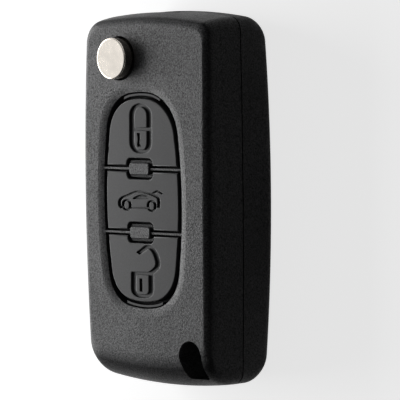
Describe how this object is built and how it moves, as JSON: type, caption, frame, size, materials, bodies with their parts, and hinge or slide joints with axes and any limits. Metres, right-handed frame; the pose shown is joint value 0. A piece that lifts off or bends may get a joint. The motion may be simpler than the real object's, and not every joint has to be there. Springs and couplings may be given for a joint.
{
  "type": "folding key fob shell",
  "caption": "Folding key fob shell with a swing-out uncut blade, a push button that releases it, sprung keys with lock, boot and unlock signs, and a key ring corner.",
  "frame": {"origin": "centre of the flat rear face", "axes": "+Y towards the end with the button, +Z out of the front with the keys, +X to the right seen from the front"},
  "size_m": [0.0383, 0.076, 0.0204],
  "materials": {
    "case_plastic": "fine spark-eroded grain, charcoal black",
    "mat_rubber": "matt black rubber",
    "key_plastic": "smooth satin dark grey, with raised signs",
    "button_chrome": "bright chrome plate with a warm tint",
    "core_plastic": "plain black moulding",
    "blade_steel": "nickel-plated, fine lengthwise polish",
    "spring_steel": "bright spring wire and nickel-plated cup"
  },
  "bodies": {
    "case": {"front_cover": "case_plastic", "rear_cover": "case_plastic", "key_mat": "mat_rubber", "spring_anchor": "spring_steel", "flip_spring": "spring_steel"},
    "blade": {"blade_head": "core_plastic", "key_blade": "blade_steel", "blade_pin": "blade_steel"},
    "release": {"release_button": "button_chrome", "button_core": "core_plastic"},
    "lock": {"key_lock": "key_plastic"},
    "boot": {"key_boot": "key_plastic"},
    "unlock": {"key_unlock": "key_plastic"}
  },
  "joints": [
    {"name": "blade_turn", "type": "hinge", "parent": "case", "child": "blade", "pos_m": [-0.0071, 0.0288, 0.009], "axis": [0, 0, -1], "range_deg": [0, 180]},
    {"name": "release_press", "type": "slide", "parent": "case", "child": "release", "axis": [0, 0, -1], "range_m": [0, 0.0015], "stiffness_N_per_m": 1500, "deforming": ["flip_spring"]},
    {"name": "lock_press", "type": "slide", "parent": "case", "child": "lock", "axis": [0, 0, -1], "range_m": [0, 0.0006], "stiffness_N_per_m": 1500},
    {"name": "boot_press", "type": "slide", "parent": "case", "child": "boot", "axis": [0, 0, -1], "range_m": [0, 0.0006], "stiffness_N_per_m": 1500},
    {"name": "unlock_press", "type": "slide", "parent": "case", "child": "unlock", "axis": [0, 0, -1], "range_m": [0, 0.0006], "stiffness_N_per_m": 1500}
  ]
}
